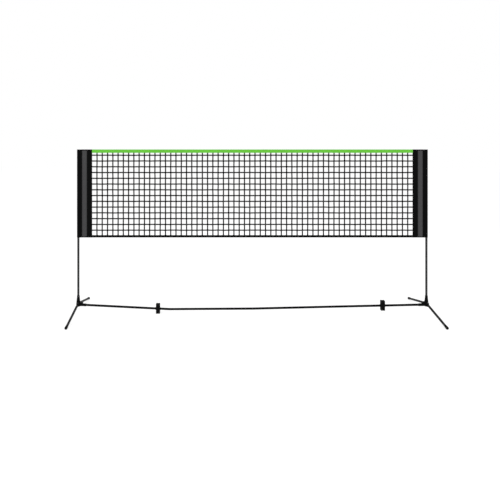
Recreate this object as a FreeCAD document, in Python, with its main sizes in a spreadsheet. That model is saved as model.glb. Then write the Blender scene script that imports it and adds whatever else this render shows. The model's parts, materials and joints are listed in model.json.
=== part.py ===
"""Volleyball net, 3 m wide, on a folding stand with telescopic poles, in millimetres.

The origin is on the floor midway between the poles. +X runs along the net to the right, +Y to
the rear and +Z up. A formula is text: each name of a size in it stands for a cell of the sheet.
"""
import FreeCAD, Part
import Sketcher
import os
import re
from FreeCAD import Placement, Rotation, Vector

SIZES = {
    # Net, hung between the two poles
    "net_width": 3000,            # outer edge of one pole sleeve to the other
    "net_top": 1400,
    "net_drop": 753,
    "pole_inset": 11,             # pole axis from the net's outer edge, and the sleeve's radius
    "sleeve_width": 40,
    "sleeve_bore": 9.8,
    "sleeve_edge": 4,             # thickness at the seam with the stripe
    "stripe_width": 46,
    "stripe_thick": 3,
    "hem_width": 39.5,
    "cloth_thick": 1.5,           # one ply of a sleeve, hem or tape
    "slot_width": 5.2,            # between the two plies of a hem or tape
    "slot_depth": 10,
    "tape_height": 27,
    "foot_tape_height": 18,
    "cord_radius": 2.5,
    "mesh_columns": 61,
    "mesh_rows": 15,
    "mesh_margin": 13,            # a row of meshes would end this far above the net's foot
    "twine_width": 10,
    "twine_thick": 2.4,
    "twine_gap": 0.1,             # uprights pass in front of the cross lines by twice this
    # Poles
    "tube_radius": 9.5,
    "tube_wall": 1.2,
    "upper_radius": 8,
    "upper_wall": 1,
    "lower_pole_top": 800,
    "lock_bottom": 535,           # lowest point of the twist lock
    "lock_washer_radius": 7,
    "lock_washer_height": 3,
    "lock_stud_radius": 3,
    "expander_radius": 7.95,
    "expander_length": 32,
    "plug_length": 25,
    "top_cap_radius": 8.8,
    "top_cap_height": 12,
    "top_cap_nose": 5,            # height of the cap's tapered end
    # Hub at the foot of each pole
    "hub_height": 73,             # level of the bar's axis at the pole
    "hub_below": 13.5,            # hub's underside, below that level
    "hub_shoulder": 20,           # top of the hub's wide part, above that level
    "hub_radius": 17,
    "neck_radius": 12,
    "neck_start": 138,
    "neck_top": 150,
    "pole_seat": 88,
    "socket_radius": 12,
    "socket_reach": 66,
    "beam_stop": 14,              # end of the bar inside its socket, from the pole axis
    "gusset_half": 6,             # half the thickness of the web between neck and socket
    "gusset_reach": 41,
    "gusset_root": 29,            # the web's top at the neck, above the bar's axis
    "gusset_tip": 18,             # and at its far end
    "root_screw_place": 22,
    "root_screw_rise": 18,
    "tip_screw_place": 35,
    "tip_screw_rise": 14.6,
    "neck_screw_level": 143,
    "neck_spot_depth": 0.8,       # flat cut into the neck for the screw's head
    "screw_stop": 1.5,            # wall left beyond a screw's tip
    "seat_gap": 0.05,
    "moving_gap": 0.3,
    "pivot_offset": 36,
    "pivot_height": 79,           # level of the legs' axes at their pivots
    "ear_half_width": 11.5,
    "ear_thick": 4,
    "cheek_reach": 23,            # solid part between the ears, from the pole axis
    "knuckle_height": 19.5,
    "knuckle_radius": 11,
    "bolt_radius": 3,
    "bolt_head_radius": 5.5,
    "bolt_head_height": 3.2,
    "screw_radius": 2,
    "screw_head_radius": 3.8,
    "screw_head_height": 2.4,
    # Legs
    "foot_reach": 515,
    "leg_radius": 9.5,
    "leg_wall": 1.5,
    "leg_seat": 15,               # inner end of the leg tube, from the pivot
    "arm_reach": 60,              # the knuckle's arm inside the leg tube, from the pivot
    "cap_radius": 11.3,
    "cap_length": 45,
    "cap_end": 6,
    "cap_nose": 4,
    "sole_depth": 2,              # how much of the round cap is worn flat
    # Ground bar
    "joint_spacing": 710,
    "left_joint_height": 34,
    "middle_joint_height": 38.5,
    "right_joint_height": 55.5,
    "joint_gap": 0.3,
    "joiner_reach": 40,
    "joiner_radius": 8,
    "joiner_nose_radius": 5.5,
    # Support blocks on the bar
    "left_block_place": 807,
    "right_block_place": 1114,
    "block_width": 34,
    "block_depth": 44.6,
    "block_rise": 44,
    "block_corner": 4,
    "block_edge": 2.5,
    "collar_radius": 13.5,
    "collar_length": 5,
    "collar_taper": 2,            # how much a collar's radius falls along its length
    "notch_width": 8,
    "notch_depth": 2.5,
    "block_screw_offset": 27,
}

# Lengths worked out from the sizes
POLE = "(net_width / 2 - pole_inset)"
MESH_HALF = "(net_width / 2 - sleeve_width - stripe_width - hem_width)"
NET_BOTTOM = "(net_top - net_drop)"
PLIED = "(slot_width / 2 + cloth_thick)"
PITCH_X = f"(2 * {MESH_HALF} / mesh_columns)"
PITCH_Z = "((net_drop - mesh_margin) / mesh_rows)"
BORE = "(tube_radius + seat_gap)"
EAR_GAP = "(knuckle_height / 2 + moving_gap)"
FOOT_HEIGHT = "(cap_radius - sole_depth)"
LEG_RUN = "(foot_reach - pivot_offset)"
LEG_SLOPE = f"((pivot_height - {FOOT_HEIGHT}) / {LEG_RUN})"
LEG_LENGTH = f"({LEG_RUN} * sqrt(1 + {LEG_SLOPE} ^ 2))"
EXPANDER_BOTTOM = "(lock_bottom + lock_washer_height + moving_gap)"
PLUG_BOTTOM = f"({EXPANDER_BOTTOM} + expander_length + moving_gap)"
CAP_SEAT = "(net_top - cloth_thick - moving_gap - top_cap_height)"

# Points where the ground bar's axis bends, from left to right, as x and z
BAR_POINTS = [
    (f"(-{POLE})", "hub_height"),
    ("(-joint_spacing)", "left_joint_height"),
    ("0", "middle_joint_height"),
    ("joint_spacing", "right_joint_height"),
    (POLE, "hub_height"),
]
BAR_NAMES = ["beam_left_outer", "beam_left_inner", "beam_right_inner", "beam_right_outer"]

SIDES = {"left": -1, "right": 1}
FACES = {"front": -1, "rear": 1}

ALONG_X = Vector(1, 0, 0)
ALONG_Y = Vector(0, 1, 0)
ALONG_Z = Vector(0, 0, 1)
NEAR = 0.01

doc = FreeCAD.newDocument("volleyball_net")
sheet = doc.addObject("Spreadsheet::Sheet", "sizes")
pieces = []


def fill_sheet():
    """Write each size as a plain number in a cell with an alias."""
    for row, (name, number) in enumerate(SIZES.items(), 1):
        sheet.set(f"A{row}", name)
        sheet.set(f"B{row}", str(number))
        sheet.setAlias(f"B{row}", name)
    doc.recompute()


def expand(formula):
    """Turn the names of sizes in a formula into cells of the sheet."""
    return re.sub(r"[a-z_]+", lambda word: f"sizes.{word[0]}" if word[0] in SIZES else word[0],
                  formula)


def bind(thing, path, formula):
    """Make one property of an object follow a formula."""
    thing.setExpression(path, expand(formula))


def number(formula):
    """The present value of a formula."""
    value = sheet.evalExpression(expand(formula))
    return float(getattr(value, "Value", value))


def new_piece(label, x="0", y="0", z="0"):
    """A sub-part with its place; its label names its file."""
    body = doc.addObject("PartDesign::Body", label)
    body.Label = label
    body.AllowCompound = True
    for axis, formula in zip("xyz", (x, y, z)):
        bind(body, f"Placement.Base.{axis}", formula)
    pieces.append(body)
    return body


def turn(thing, axis, angle):
    """Turn an object about an axis through its base point by a formula in degrees."""
    thing.Placement = Placement(thing.Placement.Base, Rotation(axis, 1))
    bind(thing, "Placement.Rotation.Angle", angle)


def new_sketch(body, plane, offset="0"):
    """An empty sketch on one of the body's own origin planes."""
    sketch = body.newObject("Sketcher::SketchObject", "Sketch")
    support = next(item for item in body.Origin.OriginFeatures if item.Role == plane)
    sketch.AttachmentSupport = (support, [""])
    sketch.MapMode = "FlatFace"
    bind(sketch, "AttachmentOffset.Base.z", offset)
    return sketch


def fix(sketch, kind, geometry, formula):
    """Constrain a radius or a coordinate of the sketch to a formula."""
    constraint = Sketcher.Constraint(kind, *geometry, number(formula))
    bind(sketch, f"Constraints[{sketch.addConstraint(constraint)}]", formula)


def add_circle(sketch, radius, across="0", up="0"):
    """A circle fixed by its radius and centre."""
    centre = Vector(number(across), number(up), 0)
    index = sketch.addGeometry(Part.Circle(centre, ALONG_Z, number(radius)))
    fix(sketch, "Radius", (index,), radius)
    fix(sketch, "DistanceX", (-1, 1, index, 3), across)
    fix(sketch, "DistanceY", (-1, 1, index, 3), up)


def add_polygon(sketch, corners):
    """A closed outline fixed by the coordinates of its corners."""
    points = [Vector(number(across), number(up), 0) for across, up in corners]
    first = sketch.GeometryCount
    for start, end in zip(points, points[1:] + points[:1]):
        sketch.addGeometry(Part.LineSegment(start, end))
    for step, (across, up) in enumerate(corners):
        line = first + step
        following = first + (step + 1) % len(corners)
        sketch.addConstraint(Sketcher.Constraint("Coincident", line, 2, following, 1))
        fix(sketch, "DistanceX", (-1, 1, line, 1), across)
        fix(sketch, "DistanceY", (-1, 1, line, 1), up)


def pad(body, sketch, length, middle=False):
    """Extrude a sketch along its normal, or to both sides of it."""
    feature = body.newObject("PartDesign::Pad", "Pad")
    feature.Profile = sketch
    feature.SideType = "Symmetric" if middle else "One side"
    bind(feature, "Length", length)
    return feature


def repeat(body, feature, axis, count, pitch):
    """Repeat a feature along an axis of its sketch."""
    pattern = body.newObject("PartDesign::LinearPattern", "LinearPattern")
    pattern.Originals = [feature]
    pattern.Direction = (feature.Profile[0], [axis])
    bind(pattern, "Length", f"{pitch} * ({count} - 1)")
    bind(pattern, "Occurrences", count)
    body.Tip = pattern


def primitive(body, kind, at=("0", "0", "0"), rotate=None, **lengths):
    """Add or cut a simple solid whose base point and lengths follow formulas."""
    feature = body.newObject(f"PartDesign::{kind}", kind)
    for name, formula in lengths.items():
        bind(feature, name, formula)
    for axis, formula in zip("xyz", at):
        bind(feature, f"Placement.Base.{axis}", formula)
    if rotate:
        turn(feature, *rotate)
    return feature


def fillet(body, radius, chosen):
    """Round the edges of the body's last feature that a test picks."""
    doc.recompute()
    base = body.Tip
    names = [f"Edge{step}" for step, edge in enumerate(base.Shape.Edges, 1) if chosen(edge)]
    feature = body.newObject("PartDesign::Fillet", "Fillet")
    feature.Base = (base, names)
    bind(feature, "Radius", radius)


def round_tube(label, radius, wall, length, x="0", y="0", z="0"):
    """A straight tube along its own Z."""
    body = new_piece(label, x, y, z)
    sketch = new_sketch(body, "XY_Plane")
    add_circle(sketch, radius)
    add_circle(sketch, f"{radius} - {wall}")
    pad(body, sketch, length)
    return body


def bar_slope(start, end):
    """Rise per run of the bar between two of its points."""
    return f"((({end[1]}) - ({start[1]})) / (({end[0]}) - ({start[0]})))"


def bar_angle(slope):
    """Turn about Y that lays a piece's own Z along a slope."""
    return f"90 deg - atan({slope})"


def socket_slope(side):
    """Slope of the bar at a pole, as it leaves the pole for the middle."""
    if side == "left":
        return bar_slope(BAR_POINTS[0], BAR_POINTS[1])
    return f"(-{bar_slope(BAR_POINTS[3], BAR_POINTS[4])})"


def screw_places():
    """The hub's screws, as local x and z, half the thickness there, and depth of the head's seat."""
    return [("root_screw_place", "hub_height + root_screw_rise", "gusset_half", "screw_head_height"),
            ("tip_screw_place", "hub_height + tip_screw_rise", "gusset_half", "screw_head_height"),
            ("0", "neck_screw_level", "neck_radius", "neck_spot_depth")]


def hub_shell(side, face):
    """Half of a hub, split on the plane of the poles; its own +X points to the middle."""
    body = new_piece(f"{side}_hub_{face}_shell", f"{SIDES[side]} * {POLE}")
    turn(body, ALONG_Z, "0 deg" if side == "left" else "180 deg")
    out = FACES[face] if side == "left" else -FACES[face]
    slope = socket_slope(side)
    level = ("0", "0", "hub_height")
    stop = f"beam_stop * cos(atan({slope}))"
    primitive(body, "AdditiveCylinder", ("0", "0", "hub_height - hub_below"),
              Radius="hub_radius", Height="hub_below + hub_shoulder")
    primitive(body, "AdditiveCone", ("0", "0", "hub_height + hub_shoulder"), Radius1="hub_radius",
              Radius2="neck_radius", Height="neck_start - hub_height - hub_shoulder")
    primitive(body, "AdditiveCylinder", ("0", "0", "neck_start"),
              Radius="neck_radius", Height="neck_top - neck_start")
    primitive(body, "AdditiveCylinder", level, (ALONG_Y, bar_angle(slope)),
              Radius="socket_radius", Height="socket_reach")
    gusset = new_sketch(body, "XZ_Plane")
    add_polygon(gusset, [("0", "hub_height"), ("gusset_reach", f"hub_height + {slope} * gusset_reach"),
                         ("gusset_reach", "hub_height + gusset_tip"),
                         ("neck_radius", "hub_height + gusset_root"), ("0", "hub_height + gusset_root")])
    pad(body, gusset, "2 * gusset_half", middle=True)
    clevis(body, out)
    primitive(body, "SubtractiveCylinder", ("0", "0", "pole_seat"),
              Radius=BORE, Height="neck_top")
    primitive(body, "SubtractiveCylinder", (stop, "0", f"hub_height + {slope} * {stop}"),
              (ALONG_Y, bar_angle(slope)), Radius=BORE, Height="2 * socket_reach")
    for x, z, half, recess in screw_places():
        primitive(body, "SubtractiveCylinder", (x, f"{half} - screw_stop + seat_gap", z),
                  (ALONG_X, "90 deg"), Radius="screw_radius + seat_gap", Height=f"2 * {half}")
        primitive(body, "SubtractiveCylinder", (x, f"{recess} - {half}", z), (ALONG_X, "90 deg"),
                  Radius="screw_head_radius + seat_gap", Height=half)
    other_half = "0" if out < 0 else "-pivot_offset - 2 * ear_half_width"
    primitive(body, "SubtractiveBox", ("-2 * hub_radius", other_half, "0"),
              Length="2 * hub_radius + 2 * socket_reach", Width="pivot_offset + 2 * ear_half_width",
              Height="2 * neck_top")


def clevis(body, out):
    """Two ears and the cheek between them, which hold one leg's knuckle on its bolt."""
    pivot = f"{out} * pivot_offset"
    low = f"pivot_height - {EAR_GAP} - ear_thick"
    primitive(body, "AdditiveBox", ("-ear_half_width", f"{min(out, 0)} * cheek_reach", low),
              Length="2 * ear_half_width", Width="cheek_reach", Height=f"2 * ({EAR_GAP} + ear_thick)")
    for bottom in (low, f"pivot_height + {EAR_GAP}"):
        primitive(body, "AdditiveBox", ("-ear_half_width", f"{min(out, 0)} * pivot_offset", bottom),
                  Length="2 * ear_half_width", Width="pivot_offset", Height="ear_thick")
        primitive(body, "AdditiveCylinder", ("0", pivot, bottom),
                  Radius="ear_half_width", Height="ear_thick")
    primitive(body, "SubtractiveCylinder", ("0", pivot, "0"),
              Radius="bolt_radius + seat_gap", Height="neck_top")


def hub_fasteners(side):
    """The hub's three screws, its two pivot bolts and their nuts."""
    screws = new_piece(f"{side}_hub_screws", f"{SIDES[side]} * {POLE}")
    turn(screws, ALONG_Z, "0 deg" if side == "left" else "180 deg")
    for x, z, half, recess in screw_places():
        primitive(screws, "AdditiveCylinder", (x, f"{half} - screw_stop", z), (ALONG_X, "90 deg"),
                  Radius="screw_radius", Height=f"2 * {half} - screw_stop - {recess}")
        primitive(screws, "AdditiveCylinder", (x, f"{recess} - {half}", z), (ALONG_X, "90 deg"),
                  Radius="screw_head_radius", Height="screw_head_height")
    bolts = new_piece(f"{side}_pivot_bolts", f"{SIDES[side]} * {POLE}")
    nuts = new_piece(f"{side}_pivot_nuts", f"{SIDES[side]} * {POLE}")
    top = f"pivot_height + {EAR_GAP} + ear_thick"
    nut_bottom = f"pivot_height - {EAR_GAP} - ear_thick - bolt_head_height"
    for out in FACES.values():
        pivot = f"{out} * pivot_offset"
        primitive(bolts, "AdditiveCylinder", ("0", pivot, nut_bottom), Radius="bolt_radius",
                  Height=f"2 * ({EAR_GAP} + ear_thick) + bolt_head_height")
        primitive(bolts, "AdditiveCylinder", ("0", pivot, top), Radius="bolt_head_radius",
                  Height="bolt_head_height / 2")
        primitive(bolts, "AdditiveCone", ("0", pivot, f"{top} + bolt_head_height / 2"),
                  Radius1="bolt_head_radius", Radius2="bolt_head_radius / 2", Height="bolt_head_height / 2")
        primitive(nuts, "AdditivePrism", ("0", pivot, nut_bottom), Circumradius="bolt_head_radius",
                  Height="bolt_head_height")
        primitive(nuts, "SubtractiveCylinder", ("0", pivot, nut_bottom), Radius="bolt_radius + seat_gap",
                  Height="bolt_head_height")


def leg(side, face):
    """A leg's knuckle, tube and rubber foot, sloping from its pivot to the floor."""
    out = FACES[face]
    place = (f"{SIDES[side]} * {POLE}", f"{out} * pivot_offset")
    along = (ALONG_X, f"{-out} * (90 deg + atan({LEG_SLOPE}))")
    cosine = f"({LEG_RUN} / {LEG_LENGTH})"

    def on_axis(distance):
        """Point of the leg's axis at a distance from the pivot."""
        return ("0", f"{out} * {distance} * {cosine}",
                f"pivot_height - {distance} * {LEG_SLOPE} * {cosine}")

    knuckle = new_piece(f"{side}_{face}_leg_knuckle", *place)
    primitive(knuckle, "AdditiveCylinder", ("0", "0", "pivot_height - knuckle_height / 2"),
              Radius="knuckle_radius", Height="knuckle_height")
    primitive(knuckle, "AdditiveCylinder", on_axis("0"), along,
              Radius="leg_radius - leg_wall - seat_gap", Height="arm_reach")
    primitive(knuckle, "SubtractiveCylinder", ("0", "0", "0"),
              Radius="bolt_radius + seat_gap", Height="2 * pivot_height")

    length = f"({LEG_LENGTH} - leg_seat - cap_end)"
    tube = round_tube(f"{side}_{face}_leg_tube", "leg_radius", "leg_wall", length)
    start = on_axis("leg_seat")
    bind(tube, "Placement.Base.x", place[0])
    bind(tube, "Placement.Base.y", f"{place[1]} + {start[1]}")
    bind(tube, "Placement.Base.z", start[2])
    turn(tube, *along)

    foot = new_piece(f"{side}_{face}_foot_cap", *place)
    primitive(foot, "AdditiveCylinder", on_axis(f"({LEG_LENGTH} - cap_length)"), along,
              Radius="cap_radius", Height="cap_length - cap_nose")
    primitive(foot, "AdditiveCone", on_axis(f"({LEG_LENGTH} - cap_nose)"), along,
              Radius1="cap_radius", Radius2="cap_radius - cap_nose", Height="cap_nose")
    primitive(foot, "SubtractiveCylinder", on_axis("leg_seat"), along,
              Radius="leg_radius + seat_gap", Height=length)
    primitive(foot, "SubtractiveBox", ("-2 * cap_radius", "-2 * foot_reach", "-2 * cap_radius"),
              Length="4 * cap_radius", Width="4 * foot_reach", Height="2 * cap_radius")


def lower_pole(side):
    """The fixed tube that stands in the hub, drilled for the screw through the hub's neck."""
    tube = round_tube(f"{side}_lower_pole", "tube_radius", "tube_wall", "lower_pole_top - pole_seat",
                      f"{SIDES[side]} * {POLE}", "0", "pole_seat")
    primitive(tube, "SubtractiveCylinder", ("0", "tube_radius", "neck_screw_level - pole_seat"),
              (ALONG_X, "90 deg"), Radius="screw_radius + seat_gap", Height="2 * tube_radius")


def upper_pole(side):
    """The sliding tube with its top cap, and the twist lock inside the lower pole."""
    x = f"{SIDES[side]} * {POLE}"
    inside = "(upper_radius - upper_wall - seat_gap)"
    tube_bottom = f"({PLUG_BOTTOM} + 2 * moving_gap)"
    round_tube(f"{side}_upper_pole", "upper_radius", "upper_wall", f"{CAP_SEAT} - {tube_bottom}",
               x, "0", tube_bottom)
    cap = new_piece(f"{side}_pole_top_cap", x, "0", CAP_SEAT)
    primitive(cap, "AdditiveCylinder", ("0", "0", "-plug_length"), Radius=inside, Height="plug_length")
    primitive(cap, "AdditiveCylinder", Radius="top_cap_radius", Height="top_cap_height - top_cap_nose")
    primitive(cap, "AdditiveCone", ("0", "0", "top_cap_height - top_cap_nose"), Radius1="top_cap_radius",
              Radius2="top_cap_radius / 2", Height="top_cap_nose")
    stud = new_piece(f"{side}_lock_stud", x)
    primitive(stud, "AdditiveCylinder", ("0", "0", "lock_bottom"), Radius="lock_washer_radius",
              Height="lock_washer_height")
    primitive(stud, "AdditiveCylinder", ("0", "0", "lock_bottom"), Radius="lock_stud_radius",
              Height=f"{PLUG_BOTTOM} - lock_bottom + plug_length")
    primitive(stud, "AdditiveCylinder", ("0", "0", PLUG_BOTTOM), Radius=inside,
              Height="plug_length + 2 * moving_gap")
    expander = new_piece(f"{side}_lock_expander", x, "0", EXPANDER_BOTTOM)
    ring = new_sketch(expander, "XY_Plane")
    add_circle(ring, "expander_radius")
    add_circle(ring, "lock_stud_radius + seat_gap")
    pad(expander, ring, "expander_length")


def ground_bar():
    """Four straight tubes end to end, and the joiners fixed in three of them.

    Each joiner tapers beyond its joint, so that the next tube can leave it at an angle.
    """
    for name, start, end in zip(BAR_NAMES, BAR_POINTS, BAR_POINTS[1:]):
        slope = bar_slope(start, end)
        cosine = f"cos(atan({slope}))"
        before = "beam_stop" if start is BAR_POINTS[0] else "joint_gap"
        after = "beam_stop" if end is BAR_POINTS[-1] else "joint_gap"
        tube = round_tube(name, "tube_radius", "tube_wall",
                          f"(({end[0]}) - ({start[0]})) / {cosine} - {before} - {after}",
                          f"{start[0]} + {before} * {cosine}", "0",
                          f"{start[1]} + {before} * {slope} * {cosine}")
        turn(tube, ALONG_Y, bar_angle(slope))
    joiners = new_piece("beam_joiners")
    for before, middle in zip(BAR_POINTS, BAR_POINTS[1:-1]):
        slope = bar_slope(before, middle)
        cosine = f"cos(atan({slope}))"
        start = (f"{middle[0]} - joiner_reach * {cosine}", "0",
                 f"{middle[1]} - joiner_reach * {slope} * {cosine}")
        primitive(joiners, "AdditiveCylinder", start, (ALONG_Y, bar_angle(slope)),
                  Radius="tube_radius - tube_wall - seat_gap", Height="joiner_reach")
        primitive(joiners, "AdditiveCone", (middle[0], "0", middle[1]), (ALONG_Y, bar_angle(slope)),
                  Radius1="joiner_radius", Radius2="joiner_nose_radius", Height="joiner_reach")


def block_place(side):
    """World x and z of a support block's centre, and the bar's slope there."""
    start, end = (BAR_POINTS[0], BAR_POINTS[1]) if side == "left" else (BAR_POINTS[3], BAR_POINTS[4])
    slope = bar_slope(start, end)
    x = f"({SIDES[side]} * {side}_block_place)"
    return x, f"({start[1]} + ({x} - {start[0]}) * {slope})", slope


def support_block(side):
    """A block that slides on the bar: front and rear halves and two screws."""
    x, z, slope = block_place(side)
    drop = block_place("left")[1]
    holes = ["block_screw_offset", "-block_screw_offset"]
    for face, out in FACES.items():
        body = new_piece(f"{side}_block_{face}_half", x, "0", z)
        outline = new_sketch(body, "XY_Plane", f"-{drop}")
        add_polygon(outline, [(f"{sign} * block_width / 2", f"{depth} * block_depth / 2")
                              for sign, depth in ((-1, -1), (1, -1), (1, 1), (-1, 1))])
        pad(body, outline, f"{drop} + block_rise")
        fillet(body, "block_corner", lambda edge: edge.BoundBox.ZLength > NEAR)
        top = number("block_rise")
        fillet(body, "block_edge", lambda edge: edge.BoundBox.ZMin > top - NEAR)
        for away in ("0 deg", "180 deg"):
            primitive(body, "AdditiveCone", rotate=(ALONG_Y, f"{bar_angle(slope)} - {away}"),
                      Radius1="collar_radius", Radius2="collar_radius - collar_taper",
                      Height="block_width / 2 + collar_length")
        primitive(body, "SubtractiveCylinder", ("-2 * block_width", "0", f"-2 * block_width * {slope}"),
                  (ALONG_Y, bar_angle(slope)), Radius="tube_radius + moving_gap", Height="4 * block_width")
        primitive(body, "SubtractiveBox", ("-notch_width / 2", "-block_depth", "block_rise - notch_depth"),
                  Length="notch_width", Width="2 * block_depth", Height="2 * notch_depth")
        for height in holes:
            primitive(body, "SubtractiveCylinder", ("0", "block_depth / 4 + seat_gap", height),
                      (ALONG_X, "90 deg"), Radius="screw_radius + seat_gap", Height="block_depth")
            primitive(body, "SubtractiveCylinder", ("0", "-block_depth / 4", height),
                      (ALONG_X, "90 deg"), Radius="screw_head_radius + seat_gap", Height="block_depth")
        primitive(body, "SubtractiveBox", ("-block_width", "0" if out < 0 else "-block_depth",
                                           f"-2 * {drop}"),
                  Length="2 * block_width", Width="block_depth", Height=f"2 * ({drop} + block_rise)")
    screws = new_piece(f"{side}_block_screws", x, "0", z)
    for height in holes:
        primitive(screws, "AdditiveCylinder", ("0", "block_depth / 4", height), (ALONG_X, "90 deg"),
                  Radius="screw_radius", Height="block_depth / 2")
        primitive(screws, "AdditiveCylinder", ("0", "-block_depth / 4", height), (ALONG_X, "90 deg"),
                  Radius="screw_head_radius", Height="screw_head_height")


def net_side(side):
    """The three upright bands at one end of the net: pole sleeve, stripe and hem."""
    out = SIDES[side]
    pole = f"{out} * {POLE}"
    seam = f"{out} * (net_width / 2 - sleeve_width)"
    sleeve = new_piece(f"{side}_pole_sleeve", z=NET_BOTTOM)
    around = new_sketch(sleeve, "XY_Plane")
    add_circle(around, "pole_inset", pole)
    pad(sleeve, around, "net_drop")
    flat = new_sketch(sleeve, "XY_Plane")
    add_polygon(flat, [(pole, "-pole_inset"), (seam, "-sleeve_edge / 2"),
                       (seam, "sleeve_edge / 2"), (pole, "pole_inset")])
    pad(sleeve, flat, "net_drop")
    primitive(sleeve, "SubtractiveCylinder", (pole, "0", "0"),
              Radius="sleeve_bore", Height="net_drop - cloth_thick")

    stripe = new_piece(f"{side}_side_stripe", z=NET_BOTTOM)
    strip = new_sketch(stripe, "XY_Plane")
    fold = f"{out} * ({MESH_HALF} + hem_width)"
    add_polygon(strip, [(seam, "-stripe_thick / 2"), (fold, "-stripe_thick / 2"),
                        (fold, "stripe_thick / 2"), (seam, "stripe_thick / 2")])
    pad(stripe, strip, "net_drop")

    hem = new_piece(f"{side}_side_hem", z=NET_BOTTOM)
    folded = new_sketch(hem, "XY_Plane")
    mouth = f"{out} * {MESH_HALF}"
    deep = f"{out} * ({MESH_HALF} + slot_depth)"
    add_polygon(folded, [(fold, f"-{PLIED}"), (mouth, f"-{PLIED}"), (mouth, "-slot_width / 2"),
                         (deep, "-slot_width / 2"), (deep, "slot_width / 2"), (mouth, "slot_width / 2"),
                         (mouth, PLIED), (fold, PLIED)])
    pad(hem, folded, "net_drop")


def net_tape(label, cord_label, edge, inward, height):
    """A tape folded over one long edge of the mesh, and the cord inside its fold."""
    tape = new_piece(label, z=edge)
    folded = new_sketch(tape, "YZ_Plane")
    mouth = f"{inward} * {height}"
    deep = f"{inward} * cloth_thick"
    add_polygon(folded, [(f"-{PLIED}", "0"), (PLIED, "0"), (PLIED, mouth), ("slot_width / 2", mouth),
                         ("slot_width / 2", deep), ("-slot_width / 2", deep), ("-slot_width / 2", mouth),
                         (f"-{PLIED}", mouth)])
    pad(tape, folded, f"2 * {MESH_HALF}", middle=True)
    cord = new_piece(cord_label, z=f"{edge} + {inward} * (cloth_thick + slot_width / 2)")
    core = new_sketch(cord, "YZ_Plane")
    add_circle(core, "cord_radius")
    pad(cord, core, f"2 * ({MESH_HALF} + slot_depth - twine_width / 2)", middle=True)


def netting():
    """The mesh: uprights in front, cross lines behind, their ends inside the hems and tapes."""
    inside = "(cloth_thick + slot_width + twine_gap)"
    uprights = new_piece("netting_uprights", f"{PITCH_X} - {MESH_HALF}", "0", f"{NET_BOTTOM} + {inside}")
    strand = new_sketch(uprights, "XY_Plane")
    add_polygon(strand, [("-twine_width / 2", "-twine_gap - twine_thick"),
                         ("twine_width / 2", "-twine_gap - twine_thick"),
                         ("twine_width / 2", "-twine_gap"), ("-twine_width / 2", "-twine_gap")])
    upright = pad(uprights, strand, f"net_drop - 2 * {inside}")
    repeat(uprights, upright, "H_Axis", "mesh_columns - 1", PITCH_X)

    lines = new_piece("netting_cross_lines", "0", "0", f"{NET_BOTTOM} + mesh_margin + {PITCH_Z}")
    strand = new_sketch(lines, "YZ_Plane")
    add_polygon(strand, [("twine_gap", "-twine_width / 2"), ("twine_gap + twine_thick", "-twine_width / 2"),
                         ("twine_gap + twine_thick", "twine_width / 2"), ("twine_gap", "twine_width / 2")])
    line = pad(lines, strand, f"2 * ({MESH_HALF} + slot_depth - twine_width / 2)", middle=True)
    repeat(lines, line, "V_Axis", "mesh_rows - 1", PITCH_Z)


def check_document():
    """Stop if any object failed, or any sub-part has no valid solid."""
    doc.recompute()
    for item in doc.Objects:
        if "Invalid" in item.State or "Error" in item.State:
            raise RuntimeError(f"{item.Label} failed: {item.State}")
    for body in pieces:
        shape = body.Shape
        if shape.isNull() or not shape.isValid() or not shape.Solids:
            raise RuntimeError(f"{body.Label} has no valid solid")


def write_parts():
    """Write each sub-part to its own file."""
    os.makedirs("parts", exist_ok=True)
    for body in pieces:
        body.Shape.exportStep(f"parts/{body.Label}.step")


fill_sheet()
for side_name in SIDES:
    for face_name in FACES:
        hub_shell(side_name, face_name)
        leg(side_name, face_name)
    hub_fasteners(side_name)
    lower_pole(side_name)
    upper_pole(side_name)
    support_block(side_name)
    net_side(side_name)
ground_bar()
net_tape("top_tape", "top_cord", "net_top", -1, "tape_height")
net_tape("foot_tape", "foot_cord", NET_BOTTOM, 1, "foot_tape_height")
netting()
check_document()
write_parts()
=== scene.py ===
"""Looks of the portable volleyball net on poles, in metres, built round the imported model."""
import json
import math
import random

import bmesh
import bpy
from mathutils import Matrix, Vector, noise


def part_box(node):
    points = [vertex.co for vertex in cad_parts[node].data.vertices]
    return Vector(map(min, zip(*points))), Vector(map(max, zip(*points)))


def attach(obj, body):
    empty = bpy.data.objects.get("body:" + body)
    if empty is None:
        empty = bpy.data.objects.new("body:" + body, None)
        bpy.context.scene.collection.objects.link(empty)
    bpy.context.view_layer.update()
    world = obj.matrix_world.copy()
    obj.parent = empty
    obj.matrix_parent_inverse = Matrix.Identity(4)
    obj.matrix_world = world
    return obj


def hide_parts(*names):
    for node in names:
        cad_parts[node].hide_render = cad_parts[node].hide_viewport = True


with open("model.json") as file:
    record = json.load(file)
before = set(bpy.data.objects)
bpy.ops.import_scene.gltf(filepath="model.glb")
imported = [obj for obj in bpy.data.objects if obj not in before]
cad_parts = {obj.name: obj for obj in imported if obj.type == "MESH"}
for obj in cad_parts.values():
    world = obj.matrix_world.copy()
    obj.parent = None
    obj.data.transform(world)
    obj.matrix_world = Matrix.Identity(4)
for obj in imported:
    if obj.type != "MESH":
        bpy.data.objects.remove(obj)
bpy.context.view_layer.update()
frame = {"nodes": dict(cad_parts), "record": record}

SIDES = {"left": -1, "right": 1}
FACES = {"front": -1, "rear": 1}
MM = 0.001
BLACK = (0.0025, 0.0025, 0.0027)
GREEN = (0.136, 0.55, 0.04)

SCUFF = (0.04, 0.04, 0.04)
DUST = (0.04, 0.038, 0.034)

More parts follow.
